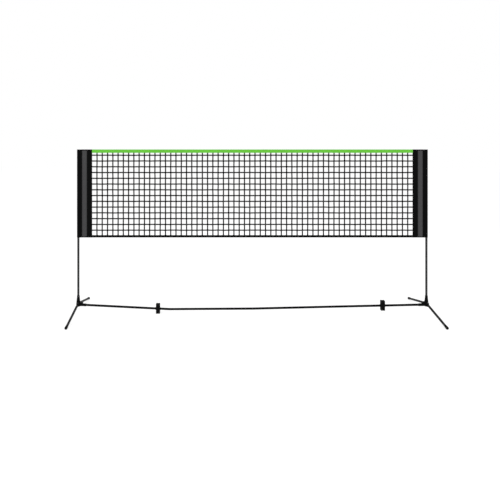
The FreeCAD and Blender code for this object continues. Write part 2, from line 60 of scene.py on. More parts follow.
# The net's mesh
COLUMNS = 61
ROWS = 15
TWINE_WIDTH = 11 * MM
PLAIN_TWINE = 10 * MM      # in the plain model
TWINE_THICK = 4.6 * MM
TWINE_SIDES = 8
TWINE_STEPS = 4            # rings of each twine between two knots
TWINE_BOW = 0.9 * MM       # how far a slack twine bows along the net
TWINE_SAG = 0.6 * MM       # and out of its plane
BRAID_PITCH = 5 * MM
KNOT_SIZE = Vector((8, 4.2, 8)) * MM
KNOT_AROUND = 10
KNOT_DOWN = 6
KNOT_FLAT = 0.04           # share of a knot's height cut off at each end
KNOT_LUMP = 0.22           # how much it is drawn out along its diagonal
KNOT_GROOVE = 0.12         # depth of the grooves between its turns
KNOT_TURNS = 7.5
KNOT_BRAID = 2 * MM        # braid's length on each ring of a knot
KNOT_SHIFT = 0.7 * MM      # how far a knot lies from the regular grid
TUCK = 6 * MM              # how far the ends of the twines reach into a hem or tape

# Cloth
CLOTH = 1.2 * MM           # one ply
SEAM_HALF = 1.5 * MM       # a sleeve's ply from the net's plane where it is sewn to the stripe
STITCH_PITCH = 5 * MM
STITCH_LENGTH = 3.2 * MM
STITCH_RADIUS = 0.35 * MM
STITCH_SHAPE = ((-0.5, 0.25), (-0.3, 1.0), (0.3, 1.0), (0.5, 0.25))    # place, and girth there
STITCH_CORNERS = ((-1, 0), (0, 1), (1, 0), (0, -0.5))    # across the stitch, and out of the cloth
SINK = 0.1 * MM            # how deep a stitch's middle lies in the cloth
TWINE_EASE = 0.3 * MM      # between a twine and the hem or tape round it
PLY = TWINE_THICK / 2 + CLOTH / 2 + TWINE_EASE    # middle of their plies from the net's plane
STRIP_STEPS = 110          # rings of a sleeve, stripe or hem from foot to top
STRIP_EASE = 1 / 8         # share of their height in which puckers grow from nothing
LONG_WAVES = (45 * MM, 30 * MM)    # a pucker's size along and across the cloth
SHORT_WAVES = (13 * MM, 20 * MM)
SHORT_SHARE = 0.6          # height of the short waves, of the long ones'

# Long tapes
TAPE_EXTRA = 1.5 * MM      # how much taller they are than in the plain model
TAPE_BEAD = 2.9 * MM       # inner radius of the fold round the cord
TAPE_PUCKER = 0.35 * MM
TAPE_PULL = 0.5 * MM       # how far the twines pull on the free edge
FOLD_STEPS = 14
TAPE_STEPS = 5             # points on each ply
MESH_STEPS = 4             # rings on each mesh
TAPE_SEAMS = {"top": (0.42, 0.86), "foot": (0.72,)}    # shares of the tape's height

# Sleeves round the poles
SLEEVE_EASE = 0.9 * MM     # between a pole and its sleeve
SLEEVE_TURNS = {"left": (-75, -285), "right": (-105, 105)}    # degrees round the pole
SLEEVE_STEPS = 26
SLEEVE_FLAT_STEPS = 6
SLEEVE_PUCKER = 0.3 * MM
SLEEVE_LAP = 2 * MM        # how far a sleeve reaches under the stripe
SLEEVE_SEAM = 3.5 * MM     # its stitches, from that edge
LID_STEPS = 20
LID_EASE = 0.4 * MM        # between the sleeve's middle and its closed top
LID_RINGS = ((0.0, 1.0), (0.55, 1.0), (0.85, 0.93), (1.0, 0.8))    # shares of height and of size

# Stripes, hems and the bindings on their ends
STRIPE_THICK = 1.5 * MM
STRIPE_LAP = 4 * MM        # in each seam
STRIPE_STEPS = 12
STRIPE_PUCKER = 0.45 * MM
HEM_LAP = 3 * MM           # how far a hem laps over the first meshes
HEM_STEPS = 8
HEM_PUCKER = 0.3 * MM
HEM_FOLD = ((5 * MM, 0.9), (1.5 * MM, 0.72))    # how it closes: from its fold, share of its half
HEM_EDGE = (1 * MM, 1.4 * MM)    # its folded edge, past the stripe's edge, and half its opening
HEM_SEAMS = (3 * MM, 5 * MM)    # its stitches, from its folded edge and from its mouth
BINDING_HEIGHT = 8 * MM
BINDING_THICK = 0.8 * MM
BINDING_STEPS = 24
BINDING_HALF = 3 * MM      # half its thickness over the stripe
BINDING_STEP = 1.8 * MM    # how much more over the hem
BINDING_AHEAD = 3 * MM     # where that begins, before the hem's fold
BINDING_RISE = 8 * MM      # and the length over which it grows
BEAD_STEPS = 8
BINDING_START = 1 * MM     # from the stripe's seam

# Feet
FOOT_REACH = 515 * MM      # tip of a leg from the plane of the net
SOLE_DEPTH = 2 * MM        # worn off the round foot where it stands
FOOT_SIDES = 40
FOOT_PROFILE = (           # millimetres from the inner end, and radius
    (0, 9.6), (0.2, 10.1), (1, 10.5), (5, 10.5), (5.8, 10), (7.2, 10), (8, 10.6), (12, 10.7),
    (12.8, 10.2), (14.2, 10.2), (15, 10.8), (19, 10.9), (19.8, 10.4), (21.2, 10.4),
    (22, 11.1), (30, 11.3), (39, 11.3), (42, 10.8), (44, 9.4), (45, 7.3), (45, 0.5))

# Mouldings and fasteners
HUB_EDGE = 0.9 * MM
KNUCKLE_EDGE = 0.7 * MM
BLOCK_EDGE = 0.5 * MM
EDGE_STEPS = 2
EDGE_ANGLE = 38            # degrees; blunter edges stay as they are
WELD = 0.005 * MM          # points of the plain model nearer than this are one
PIVOT_BOLT = (5.5 * MM, 3.2 * MM, 3 * MM)    # radius and height of the head, radius of the shank
SCREW = (3.8 * MM, 2.4 * MM, 2 * MM)
HEAD_SIDES = 24
HEX = 6

# Studio
FLOOR_SIZE = 60
FLOOR_GLOW = (1.2, 0.6)    # brightness of its white, and the white's share where it is seen
WORLD_LIGHT = 0.8          # 1 where it is seen
LAMPS = (                  # name, place, target, size and power
    ("key", (-3.5, -4.5, 4.6), (0, 0, 0.7), 3.0, 120),
    ("fill", (4.5, -3.5, 3.2), (0, 0, 0.7), 3.0, 60),
    ("rear", (0.5, 4.5, 4.2), (0, 0, 0.8), 3.5, 75))

# Seeds of the chance in each kind of piece
MESH_SEED = 7
TAPE_SEED, TAPE_EDGE_SEED = 3, 8
SLEEVE_SEED, STRIPE_SEED, HEM_SEED = 11, 21, 31
ROW_SEED = 100

# Camera, level and square to the net, and shifted as a view camera's back is
CAMERA_PLACE = (-0.378, -5.8, 1.469)
CAMERA_LENS = 48.8
CAMERA_SHIFT = (0.0836, -0.2172)


# ---------------------------------------------------------------- frame

def box(node):
    """The lowest and highest corners of a CAD node."""
    low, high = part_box(node)
    return Vector(low), Vector(high)


def joint(name):
    """A joint of the record by its name."""
    return next(item for item in frame["record"]["behaviour"]["joints"] if item["name"] == name)


def pole_x(side):
    """Where a pole's axis stands along the net."""
    low, high = box(f"{side}_lower_pole")
    return (low.x + high.x) / 2


net_low = box("left_side_stripe")[0].z
net_high = box("left_side_stripe")[1].z
mesh_half = box("right_side_hem")[0].x
column_pitch = 2 * mesh_half / COLUMNS
lines_low, lines_high = box("netting_cross_lines")
row_pitch = (lines_high.z - lines_low.z - PLAIN_TWINE) / (ROWS - 2)


# ---------------------------------------------------------------- materials

def new_material(name, color, roughness, gloss=0.5, metallic=0.0, sheen=0.0, coat=0.0):
    """A principled material and its node tree; gloss is the strength of its plain reflection."""
    material = bpy.data.materials.new(name)
    material.use_nodes = True
    tree = material.node_tree
    surface = tree.nodes["Principled BSDF"]
    surface.inputs["Base Color"].default_value = (*color, 1)
    surface.inputs["Roughness"].default_value = roughness
    surface.inputs["Specular IOR Level"].default_value = gloss
    surface.inputs["Metallic"].default_value = metallic
    surface.inputs["Sheen Weight"].default_value = sheen
    surface.inputs["Coat Weight"].default_value = coat
    return material, tree, surface


def add_node(tree, kind, inputs=(), **settings):
    """A shader node whose inputs are values or the sockets that feed them."""
    node = tree.nodes.new(f"ShaderNode{kind}")
    for name, value in settings.items():
        setattr(node, name, value)
    for key, value in dict(inputs).items():
        if isinstance(value, bpy.types.NodeSocket):
            tree.links.new(value, node.inputs[key])
        else:
            node.inputs[key].default_value = value
    return node


def place(tree, kind="Object"):
    """The coordinates that a pattern is laid out in."""
    return add_node(tree, "TexCoord").outputs[kind]


def mottle(tree, scale, detail=3.0, source=None):
    """Soft noise from 0 to 1."""
    inputs = {"Vector": source or place(tree), "Scale": scale, "Detail": detail}
    return add_node(tree, "TexNoise", inputs).outputs["Fac"]


def math_node(tree, operation, first, second=0.0):
    """One arithmetic step between two values."""
    return add_node(tree, "Math", {0: first, 1: second}, operation=operation).outputs[0]


def spread(tree, factor, low, high, floor=0.3, ceiling=0.7):
    """Map a value from one range to another."""
    inputs = {"Value": factor, "From Min": floor, "From Max": ceiling,
              "To Min": low, "To Max": high}
    return add_node(tree, "MapRange", inputs).outputs["Result"]


def blend_colors(tree, factor, first, second):
    """A colour between two colours."""
    node = add_node(tree, "Mix", data_type="RGBA")
    for index, value in ((0, factor), (6, first), (7, second)):
        socket = node.inputs[index]
        if isinstance(value, bpy.types.NodeSocket):
            tree.links.new(value, socket)
        else:
            socket.default_value = (*value, 1) if isinstance(value, tuple) else value
    return node.outputs[2]


def feed(tree, surface, name, value):
    """Link a value to one of a surface's inputs."""
    tree.links.new(value, surface.inputs[name])


def relief(tree, surface, height, distance, strength=1.0):
    """Bump the surface by a height from 0 to 1 over a depth in metres."""
    bump = add_node(tree, "Bump", {"Height": height, "Distance": distance, "Strength": strength})
    feed(tree, surface, "Normal", bump.outputs["Normal"])


def shade(color, factor):
    """A lighter or darker version of a colour."""
    return tuple(min(1.0, part * factor) for part in color)


def patchy(tree, scale, color, darker, lighter, detail=3.0):
    """A colour in soft patches, between a darker and a lighter version of it."""
    patches = spread(tree, mottle(tree, scale, detail), 0.0, 1.0)
    return blend_colors(tree, patches, shade(color, darker), shade(color, lighter))


def worn_edges(tree, start, end):
    """From 0 on plain surfaces to 1 on sharp edges."""
    pointed = add_node(tree, "NewGeometry").outputs["Pointiness"]
    return spread(tree, pointed, 0.0, 1.0, start, end)


def wave(tree, value, pitch):
    """A sine wave along a length, with this pitch."""
    angle = math_node(tree, "MULTIPLY", value, 2 * math.pi / pitch)
    return math_node(tree, "SINE", angle)


def powder_coat(name, color, gloss, roughness):
    """Black powder coat on steel tube: fine orange peel, patches of sheen, rubbed edges."""
    material, tree, surface = new_material(name, color, roughness, gloss=gloss)
    tone = patchy(tree, 22.0, color, 0.75, 1.35)
    rubbed = math_node(tree, "MULTIPLY", worn_edges(tree, 0.52, 0.62), 0.35)
    tone = blend_colors(tree, rubbed, tone, shade(color, 5))
    feed(tree, surface, "Base Color", tone)
    grain = spread(tree, mottle(tree, 60.0, 5.0), roughness * 0.85, roughness * 1.2)
    feed(tree, surface, "Roughness", grain)
    relief(tree, surface, mottle(tree, 1400.0, 2.0), 0.06 * MM)
    return material


def moulded_plastic():
    """Black nylon with the fine grain of a spark-eroded mould and pale scuffs on its edges."""
    color = (0.0025, 0.0025, 0.0026)
    material, tree, surface = new_material("black_moulded_plastic", color, 0.5, gloss=0.04)
    broken = spread(tree, mottle(tree, 90.0, 6.0), 0, 0.5)
    scuffs = math_node(tree, "MULTIPLY", worn_edges(tree, 0.53, 0.65), broken)
    tone = patchy(tree, 35.0, color, 0.8, 1.3)
    feed(tree, surface, "Base Color", blend_colors(tree, scuffs, tone, SCUFF))
    feed(tree, surface, "Roughness", spread(tree, mottle(tree, 140.0, 4.0), 0.46, 0.64))
    relief(tree, surface, mottle(tree, 2200.0, 1.0), 0.05 * MM)
    return material


def foot_rubber():
    """Black rubber, dusty and rubbed grey near the floor."""
    color = (0.0035, 0.0035, 0.0036)
    material, tree, surface = new_material("black_foot_rubber", color, 0.78, gloss=0.06)
    height = add_node(tree, "SeparateXYZ", {0: place(tree)}).outputs["Z"]
    low = spread(tree, height, 1.0, 0.0, 0.0, 9 * MM)
    dust = math_node(tree, "MULTIPLY", low, spread(tree, mottle(tree, 260.0, 6.0), 0.0, 0.55))
    tone = patchy(tree, 55.0, color, 0.8, 1.3)
    feed(tree, surface, "Base Color", blend_colors(tree, dust, tone, DUST))
    feed(tree, surface, "Roughness", spread(tree, mottle(tree, 200.0, 5.0), 0.7, 0.88))
    relief(tree, surface, mottle(tree, 900.0, 4.0), 0.1 * MM)
    return material


def dark_zinc():
    """Black zinc plate on small fasteners."""
    color = (0.11, 0.11, 0.115)
    material, tree, surface = new_material("black_zinc_plate", color, 0.36, metallic=1.0)
    feed(tree, surface, "Base Color", patchy(tree, 420.0, color, 0.6, 1.3, 4.0))
    feed(tree, surface, "Roughness", spread(tree, mottle(tree, 700.0, 5.0), 0.3, 0.5))
    relief(tree, surface, mottle(tree, 1800.0, 2.0), 0.03 * MM)
    return material


def woven(tree, pitch):
    """A plain weave in the plane of the net, from 0 in its gaps to 1 on its threads."""
    position = add_node(tree, "SeparateXYZ", {0: place(tree)})
    waves = [wave(tree, position.outputs[axis], 2 * pitch) for axis in "XZ"]
    return spread(tree, math_node(tree, "MULTIPLY", *waves), 0.0, 1.0, -1.0, 1.0)


def woven_cloth(name, color, pitch, roughness, contrast=0.35, gloss=0.04):
    """Plain-woven cloth with uneven threads and slight fading."""
    material, tree, surface = new_material(name, color, roughness, gloss=gloss, sheen=0.02)
    surface.inputs["Sheen Roughness"].default_value = 0.45
    slub = spread(tree, mottle(tree, 420.0), 0.0, 1.0)
    depth = math_node(tree, "MULTIPLY", woven(tree, pitch), slub)
    faded = patchy(tree, 7.0, color, 0.9, 1.1, 5.0)
    thread = blend_colors(tree, depth, shade(color, 1 - contrast), shade(color, 1 + contrast / 3))
    feed(tree, surface, "Base Color", blend_colors(tree, 0.5, faded, thread))
    relief(tree, surface, depth, 0.25 * MM, 0.7)
    return material


def stripe_webbing():
    """Dark grey webbing with ribs along its length, darker towards its two edges."""
    color = (0.055, 0.054, 0.056)
    material, tree, surface = new_material("grey_webbing", color, 0.62, gloss=0.15, sheen=0.02)
    low, high = box("right_side_stripe")
    position = add_node(tree, "SeparateXYZ", {0: place(tree)})
    away = math_node(tree, "ABSOLUTE", position.outputs["X"])
    away = math_node(tree, "SUBTRACT", away, (low.x + high.x) / 2)
    away = math_node(tree, "ABSOLUTE", away)
    width = high.x - low.x
    edge = spread(tree, away, 0.0, 1.0, width * 0.28, width * 0.5)
    ribs = wave(tree, position.outputs["X"], 1.6 * MM)
    picks = wave(tree, position.outputs["Z"], 1.1 * MM)
    ribbed = spread(tree, math_node(tree, "MULTIPLY_ADD", picks, 0.35), 0.0, 1.0, -0.4, 1.0)
    ribbed = math_node(tree, "MULTIPLY", ribbed, spread(tree, ribs, 0.55, 1.0, -1.0, 1.0))
    tone = blend_colors(tree, ribbed, shade(color, 0.7), shade(color, 1.15))
    tone = blend_colors(tree, math_node(tree, "MULTIPLY", edge, 0.85), tone, shade(color, 0.3))
    feed(tree, surface, "Base Color", tone)
    feed(tree, surface, "Roughness", spread(tree, mottle(tree, 40.0, 4.0), 0.52, 0.72))
    relief(tree, surface, ribbed, 0.3 * MM, 0.8)
    return material


def braided_twine():
    """Black braided twine, lighter on the crowns of its strands as a painted highlight and darker
    between them as painted shade; its pattern follows the twine's own length and girth.
    """
    material, tree, surface = new_material("black_braided_twine", BLACK, 0.6, gloss=0.12)
    position = add_node(tree, "SeparateXYZ", {0: place(tree, "UV")})
    strands = []
    for turn in (1, -1):
        around = math_node(tree, "MULTIPLY", position.outputs["X"], turn * 4 * math.pi)
        along = math_node(tree, "MULTIPLY", position.outputs["Y"], 2 * math.pi / BRAID_PITCH)
        strands.append(math_node(tree, "SINE", math_node(tree, "ADD", around, along)))
    braid_and_painted_highlight = spread(tree, math_node(tree, "MAXIMUM", *strands), 0.0, 1.0, -0.3, 1.0)
    # painted highlight on the crowns of the strands and painted shade in the grooves between them
    tone = blend_colors(tree, braid_and_painted_highlight, shade(BLACK, 0.5), shade(BLACK, 1.7))
    feed(tree, surface, "Base Color", tone)
    feed(tree, surface, "Roughness", spread(tree, mottle(tree, 300.0, 4.0), 0.5, 0.7))
    relief(tree, surface, braid_and_painted_highlight, 0.5 * MM, 0.8)
    return material


def sewing_thread(name, color):
    """Twisted polyester thread."""
    material, tree, surface = new_material(name, color, 0.5, gloss=0.3)
    feed(tree, surface, "Base Color", patchy(tree, 1500.0, color, 0.7, 1.25, 2.0))
    return material


MATERIALS = {
    "tube": powder_coat("black_powder_coat", (0.0025, 0.0025, 0.0027), 0.025, 0.4),
    "pole": powder_coat("black_gloss_powder_coat", (0.006, 0.006, 0.0064), 0.25, 0.24),
    "plastic": moulded_plastic(),
    "rubber": foot_rubber(),
    "steel": dark_zinc(),
    "cloth": woven_cloth("black_polyester", BLACK, 0.9 * MM, 0.68, 0.6),
    "binding": woven_cloth("black_binding", shade(BLACK, 0.9), 0.7 * MM, 0.6, 0.6),
    "stripe": stripe_webbing(),
    "green": woven_cloth("green_tape", GREEN, 0.8 * MM, 0.58, 0.3, 0.2),
    "twine": braided_twine(),
    "green_thread": sewing_thread("green_thread", shade(GREEN, 0.8)),
    "black_thread": sewing_thread("black_thread", (0.012, 0.012, 0.0125)),
}


# ---------------------------------------------------------------- mesh tools

def new_object(name, data):
    """An object in the scene."""
    item = bpy.data.objects.new(name, data)
    bpy.context.collection.objects.link(item)
    return item


def add_piece(name, points, faces, body, finish, replaced=()):
    """A mesh piece on a body, with its finish, hiding the CAD nodes that it stands for."""
    mesh = bpy.data.meshes.new(name)
    mesh.from_pydata(points, [], faces)
    mesh.validate()
    return finish_piece(new_object(name, mesh), body, finish, replaced)


def finish_piece(piece, body, finish, replaced=(), crease=35):
    """Give a new piece its normals, body and material slot, and hide the CAD nodes that it stands
    for.
    """
    mesh = piece.data
    work = bmesh.new()
    work.from_mesh(mesh)
    bmesh.ops.recalc_face_normals(work, faces=work.faces)
    work.to_mesh(mesh)
    work.free()
    mesh.materials.clear()
    mesh.materials.append(MATERIALS[finish])
    mesh.shade_smooth()
    mesh.set_sharp_from_angle(angle=math.radians(crease))
    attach(piece, body)
    if replaced:
        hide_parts(*replaced)
    return piece


def loft(rings, cap=False):
    """Points and faces of a skin over closed rings with the same number of points."""
    count = len(rings[0])
    points = [point for ring in rings for point in ring]
    faces = []
    for level in range(len(rings) - 1):
        for step in range(count):
            after = (step + 1) % count
            low, high = level * count, (level + 1) * count
            faces.append((low + step, low + after, high + after, high + step))
    if cap:
        faces.append(tuple(reversed(range(count))))
        faces.append(tuple(range(len(points) - count, len(points))))
    return points, faces


def join(parts):
    """Several sets of points and faces as one."""
    points, faces = [], []
    for some_points, some_faces in parts:
        start = len(points)
        points += some_points
        faces += [tuple(start + index for index in face) for face in some_faces]
    return points, faces


def outline(path, thickness):
    """The closed outline of a strip of cloth whose middle follows an open path."""
    offsets = []
    for index, point in enumerate(path):
        before = path[max(index - 1, 0)]
        after = path[min(index + 1, len(path) - 1)]
        along = (Vector(after) - Vector(before)).normalized()
        offsets.append(Vector((-along.y, along.x)) * thickness / 2)
    outer = [Vector(point) + offset for point, offset in zip(path, offsets)]
    inner = [Vector(point) - offset for point, offset in zip(path, offsets)]
    return outer + inner[::-1]


def circle(sides):
    """The angles of evenly spaced points round a circle, in radians."""
    return [2 * math.pi * step / sides for step in range(sides)]


def ripple(along, across, size, seed):
    """A smooth pucker of cloth that doesn't repeat."""
    long = Vector((along / LONG_WAVES[0], across / LONG_WAVES[1], seed))
    short = Vector((along / SHORT_WAVES[0], across / SHORT_WAVES[1], seed + 9))
    return size * noise.noise(long) + SHORT_SHARE * size * noise.noise(short)


def arc(centre, radius, start, end, steps):
    """Points on an arc between two angles in degrees."""
    angles = [math.radians(start + (end - start) * step / steps) for step in range(steps + 1)]
    return [(centre[0] + radius * math.cos(angle), centre[1] + radius * math.sin(angle))
            for angle in angles]


def line_between(start, end, steps):
    """Evenly spaced points on a straight line, both ends among them."""
    return [tuple(Vector(start).lerp(Vector(end), step / steps)) for step in range(steps + 1)]


def stitch(centre, along, out):
    """One stitch that stands half proud of the cloth."""
    across = along.cross(out).normalized()
    rings = []
    for share, girth in STITCH_SHAPE:
        middle = centre + along * STITCH_LENGTH * share
        rings.append([middle + (across * right + out * up) * STITCH_RADIUS * girth
                      for right, up in STITCH_CORNERS])
    return loft(rings, cap=True)


def stitch_row(start, end, face, lean):
    """Stitches in a line between two points, on cloth that leans along Y as lean says."""
    start, end = Vector(start), Vector(end)
    count = int((end - start).length / STITCH_PITCH)
    along = (end - start).normalized()
    row = []
    for step in range(count):
        centre = start.lerp(end, (step + 0.5) / count)
        centre.y += lean(centre)
        row.append(stitch(centre, along, Vector((0, face, 0))))
    return row


def soften(node, body, width):
    """Stand in for a moulded CAD node with a copy whose sharp edges are rounded."""
    source = frame["nodes"][node]
    mesh = source.data.copy()
    work = bmesh.new()
    work.from_mesh(mesh)
    bmesh.ops.remove_doubles(work, verts=work.verts, dist=WELD)
    bmesh.ops.dissolve_limit(work, angle_limit=math.radians(1), verts=work.verts, edges=work.edges)
    work.to_mesh(mesh)
    work.free()
    piece = new_object(f"{node}_rounded", mesh)
    bevel = piece.modifiers.new("edges", "BEVEL")
    bevel.width = width
    bevel.segments = EDGE_STEPS
    bevel.limit_method = "ANGLE"
    bevel.angle_limit = math.radians(EDGE_ANGLE)
    graph = bpy.context.evaluated_depsgraph_get()
    made = bpy.data.meshes.new_from_object(piece.evaluated_get(graph))
    piece.modifiers.clear()
    piece.data = made
    finish_piece(piece, body, "plastic", (node,), crease=30)


# ---------------------------------------------------------------- netting

def knot_grid():
    """Where the twines cross: columns from hem to hem, and rows from the foot tape to the top."""
    chance = random.Random(MESH_SEED)
    first = lines_low.z + PLAIN_TWINE / 2
    levels = [first + row * row_pitch for row in range(ROWS - 1)]
    levels = [net_low + TUCK] + levels + [net_high - TUCK]
    grid = []
    for column in range(COLUMNS + 1):
        points = []
        for row, level in enumerate(levels):
            shift = Vector([chance.uniform(-1, 1) for _ in range(3)]) * KNOT_SHIFT
            inside = 0 < column < COLUMNS and 0 < row < ROWS
            point = Vector((-mesh_half + column * column_pitch, 0, level))
            points.append(point + (shift if inside else Vector()))
        grid.append(points)
    return grid


def braid_texture(levels, sides):
    """Where the braid lies on a skin: its girth from 0 to 1, and its length at each ring."""
    texture = []
    for low, high in zip(levels, levels[1:]):
        for step in range(sides):
            left, right = step / sides, (step + 1) / sides
            texture += [(left, low), (right, low), (right, high), (left, high)]
    return texture + [(0, 0)] * (2 * sides)


def twine(line, side_axis, seed):
    """A braided twine through its knots, a little slack between them."""
    rings, lengths, travelled = [], [], 0.0
    for index in range(len(line) - 1):
        last = index == len(line) - 2
        for step in range(TWINE_STEPS + (1 if last else 0)):
            share = step / TWINE_STEPS
            centre = line[index].lerp(line[index + 1], share)
            bow = math.sin(math.pi * share)
            centre += side_axis * bow * TWINE_BOW * noise.noise(Vector((seed, index * 1.7, 0)))
            centre.y += bow * TWINE_SAG * noise.noise(Vector((seed, index * 1.3, 5)))
            if rings:
                travelled += (centre - previous).length
            previous = centre
            lengths.append(travelled)
            rings.append([centre + side_axis * math.cos(angle) * TWINE_WIDTH / 2
                          + Vector((0, math.sin(angle) * TWINE_THICK / 2, 0))
                          for angle in circle(TWINE_SIDES)])
    return *loft(rings, cap=True), braid_texture(lengths, TWINE_SIDES)


def knot(centre, lean):
    """A sheet-bend knot: a lump drawn out along one diagonal, with the grooves of its turns."""
    rings = []
    for level in range(KNOT_DOWN + 1):
        polar = math.pi * (KNOT_FLAT + (1 - 2 * KNOT_FLAT) * level / KNOT_DOWN)
        ring = []
        for turn in circle(KNOT_AROUND):
            away = Vector((math.sin(polar) * math.cos(turn), math.cos(polar),
                           math.sin(polar) * math.sin(turn)))
            diagonal = (away.x + lean * away.z) / math.sqrt(2)
            size = 1 + KNOT_LUMP * diagonal ** 2 - KNOT_GROOVE * math.cos(KNOT_TURNS * diagonal)
            reach = Vector([part * radius * size for part, radius in zip(away, KNOT_SIZE)])
            ring.append(centre + reach)
        rings.append(ring)
    lengths = [level * KNOT_BRAID for level in range(KNOT_DOWN + 1)]
    return *loft(rings, cap=True), braid_texture(lengths, KNOT_AROUND)


def make_netting():
    """The knotted mesh between the hems and the tapes."""
    grid = knot_grid()
    right, up = Vector((1, 0, 0)), Vector((0, 0, 1))
    parts = []
    for column in range(1, COLUMNS):
        parts.append(twine(grid[column], right, column))
    for row in range(1, ROWS):
        line = [grid[column][row] for column in range(COLUMNS + 1)]
        line[0] = line[0] - right * TUCK
        line[-1] = line[-1] + right * TUCK
        parts.append(twine(line, up, ROW_SEED + row))
    for column in range(1, COLUMNS):
        for row in range(1, ROWS):
            parts.append(knot(grid[column][row], 1 if (column + row) % 2 else -1))
    points, faces = join([part[:2] for part in parts])
    mesh = bpy.data.meshes.new("netting")
    mesh.from_pydata(points, [], faces)
    layer = mesh.uv_layers.new(name="twine")
    flat = [value for _, _, texture in parts for pair in texture for value in pair]
    layer.data.foreach_set("uv", flat)
    piece = new_object("netting", mesh)
    finish_piece(piece, "net", "twine", ("netting_uprights", "netting_cross_lines"), crease=60)
    width, drop = 2 * (mesh_half + TUCK), grid[1][ROWS].z - grid[1][0].z
    covered = (COLUMNS - 1) * drop * TWINE_WIDTH + (ROWS - 1) * width * TWINE_WIDTH
    covered += (COLUMNS - 1) * (ROWS - 1) * KNOT_SIZE.x ** 2


# ---------------------------------------------------------------- tapes, bands

def close_ends(points, faces, count):
    """Close both ends of a skin whose rings are strips of cloth with count points each."""
    ends = []
    for base in (0, len(points) - count):
        ends += [(base + step, base + step + 1, base + count - 2 - step, base + count - 1 - step)
                 for step in range(count // 2 - 1)]
    return points, faces + ends


def make_tape(where, inward, finish, thread):
    """A tape folded over the top or foot of the netting, round a cord."""
    name = f"{where}_tape"
    low, high = box(name)
    edge = high.z if inward > 0 else low.z
    height = high.z - low.z + TAPE_EXTRA
    bead = TAPE_BEAD + CLOTH / 2
    centre = (0.0, edge - inward * (bead + CLOTH / 2))
    start, end = (200, -20) if inward > 0 else (160, 380)
    fold = arc(centre, bead, start, end, FOLD_STEPS)
    front = line_between((-PLY, edge - inward * height), fold[0], TAPE_STEPS)
    rear = line_between(fold[-1], (PLY, edge - inward * height), TAPE_STEPS)
    path = front[:-1] + fold + rear[1:]
    section = outline(path, CLOTH)
    reach = mesh_half - HEM_LAP

    def lean(point):
        """How far the tape leaves its plane at a point, more towards its free edge."""
        depth = abs(edge - point.z) / height
        return ripple(point.x, depth * height, TAPE_PUCKER, TAPE_SEED) * depth

    rings = []
    stations = COLUMNS * MESH_STEPS
    for station in range(stations + 1):
        x = -reach + 2 * reach * station / stations
        pull = 0.5 + 0.5 * math.cos(2 * math.pi * (x + mesh_half) / column_pitch)
        ring = []
        for across, level in section:
            point = Vector((x, across, level))
            point.y += lean(point)
            depth = abs(edge - level) / height
            pulled = inward * pull * TAPE_PULL - ripple(x, 0, TAPE_PULL, TAPE_EDGE_SEED)
            point.z -= pulled * depth
            ring.append(point)
        rings.append(ring)
    points, faces = close_ends(*loft(rings), len(section))
    tape = add_piece(f"{name}_cloth", points, faces, "net", finish, (name,))
    rows = []
    for share in TAPE_SEAMS[where]:
        z = edge - inward * height * share
        for face in FACES.values():
            y = face * (PLY + CLOTH / 2 - SINK)
            rows += stitch_row((-reach, y, z), (reach, y, z), face, lean)
    add_piece(f"{name}_stitches", *join(rows), "net", thread)


def sway(point, pucker, seed):
    """How far a hanging strip of cloth leaves its plane, nothing at its two ends."""
    share = (point.z - net_low) / (net_high - net_low)
    ease = max(0.0, min(1.0, share / STRIP_EASE, (1 - share) / STRIP_EASE))
    return ease * ripple(point.z, point.x, pucker, seed)


def upright_strip(name, path, thickness, finish, replaced, pucker, seed):
    """A strip of cloth from the net's foot to its top, its section following a path in plan."""
    section = outline(path, thickness)
    rings = []
    for station in range(STRIP_STEPS + 1):
        z = net_low + (net_high - net_low) * station / STRIP_STEPS
        ring = [Vector((point[0], point[1], z)) for point in section]
        for point in ring:
            point.y += sway(point, pucker, seed)
        rings.append(ring)
    points, faces = close_ends(*loft(rings), len(section))
    return add_piece(name, points, faces, "net", finish, (replaced,))


def skin(path, x):
    """How far from the net's plane a path in plan stands at x."""
    distances = []
    for first, last in zip(path, path[1:]):
        if (first[0] - x) * (last[0] - x) <= 0 and first[0] != last[0]:
            share = (x - first[0]) / (last[0] - first[0])
            distances.append(abs(first[1] + (last[1] - first[1]) * share))
    return max(distances)


def upright_stitches(path, x, pucker, seed):
    """A row of stitches up each face of a strip."""
    rows = []
    for face in FACES.values():
        y = face * (skin(path, x) + CLOTH / 2 - SINK)
        start, end = (x, y, net_low + BINDING_HEIGHT), (x, y, net_high - BINDING_HEIGHT)
        rows += stitch_row(start, end, face, lambda point: sway(point, pucker, seed))
    return rows


def make_sleeve(side, seam):
    """The pole's sleeve, sewn to the stripe at its seam, with a closed top."""
    out = SIDES[side]
    pole = pole_x(side)
    low, high = box(f"{side}_lower_pole")
    radius = (high.x - low.x) / 2 + CLOTH / 2 + SLEEVE_EASE
    turn = SLEEVE_TURNS[side]
    lap = seam - out * SLEEVE_LAP
    around = arc((pole, 0), radius, *turn, SLEEVE_STEPS)
    path = line_between((lap, -SEAM_HALF), around[0], SLEEVE_FLAT_STEPS)[:-1] + around \
        + line_between(around[-1], (lap, SEAM_HALF), SLEEVE_FLAT_STEPS)[1:]
    seed = SLEEVE_SEED + out
    sleeve = upright_strip(f"{side}_pole_sleeve_cloth", path, CLOTH, "cloth",
                           f"{side}_pole_sleeve", SLEEVE_PUCKER, seed)

    rings = []
    for share, size in LID_RINGS:
        ring = arc((pole, 0), (radius + LID_EASE + CLOTH / 2) * size, *turn, LID_STEPS)
        tip = SEAM_HALF * size + CLOTH / 2
        ring = [(seam, -tip)] + ring + [(seam, tip)]
        z = net_high - BINDING_HEIGHT * (1 - share)
        rings.append([Vector((x, y, z)) for x, y in ring])
    add_piece(f"{side}_sleeve_top_seam", *loft(rings, cap=True), "net", "binding")
    return upright_stitches(path, lap + out * SLEEVE_SEAM, SLEEVE_PUCKER, seed)


